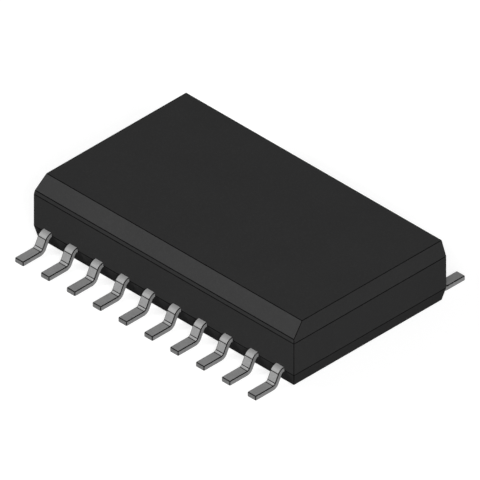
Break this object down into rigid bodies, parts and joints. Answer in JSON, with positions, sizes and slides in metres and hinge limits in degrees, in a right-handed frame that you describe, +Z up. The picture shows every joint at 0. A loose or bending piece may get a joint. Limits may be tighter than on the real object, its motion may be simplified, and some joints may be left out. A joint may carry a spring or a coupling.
{
  "type": "logic buffer chip",
  "caption": "Small-outline logic buffer chip with a drafted black moulded body, a bevelled pin-one side and a row of flat gull-wing leads along each long side.",
  "frame": {"origin": "on the seating plane, under the middle of the body", "axes": "+X along the body from pin one's end, +Y across the leads away from the bevelled side, +Z up out of the board"},
  "size_m": [0.0128, 0.0104, 0.0026],
  "materials": {
    "mould_compound": "fine spark-eroded matte, charcoal black",
    "tinned_lead": "matte tin plating over copper alloy",
    "lead_frame_metal": "bare copper alloy, rolled",
    "filled_adhesive": "cured, silver filled",
    "silicon": "polished, passivated",
    "gold_wire": "bright drawn gold"
  },
  "bodies": {
    "root": {"moulded_body": "mould_compound", "die_pad": "lead_frame_metal", "die_attach": "filled_adhesive", "silicon_die": "silicon", "lead_01": "tinned_lead", "lead_02": "tinned_lead", "lead_03": "tinned_lead", "lead_04": "tinned_lead", "lead_05": "tinned_lead", "lead_06": "tinned_lead", "lead_07": "tinned_lead", "lead_08": "tinned_lead", "lead_09": "tinned_lead", "lead_10": "tinned_lead", "lead_11": "tinned_lead", "lead_12": "tinned_lead", "lead_13": "tinned_lead", "lead_14": "tinned_lead", "lead_15": "tinned_lead", "lead_16": "tinned_lead", "lead_17": "tinned_lead", "lead_18": "tinned_lead", "lead_19": "tinned_lead", "lead_20": "tinned_lead", "bond_wire_01": "gold_wire", "bond_wire_02": "gold_wire", "bond_wire_03": "gold_wire", "bond_wire_04": "gold_wire", "bond_wire_05": "gold_wire", "bond_wire_06": "gold_wire", "bond_wire_07": "gold_wire", "bond_wire_08": "gold_wire", "bond_wire_09": "gold_wire", "bond_wire_10": "gold_wire", "bond_wire_11": "gold_wire", "bond_wire_12": "gold_wire", "bond_wire_13": "gold_wire", "bond_wire_14": "gold_wire", "bond_wire_15": "gold_wire", "bond_wire_16": "gold_wire", "bond_wire_17": "gold_wire", "bond_wire_18": "gold_wire", "bond_wire_19": "gold_wire", "bond_wire_20": "gold_wire"}
  },
  "joints": []
}
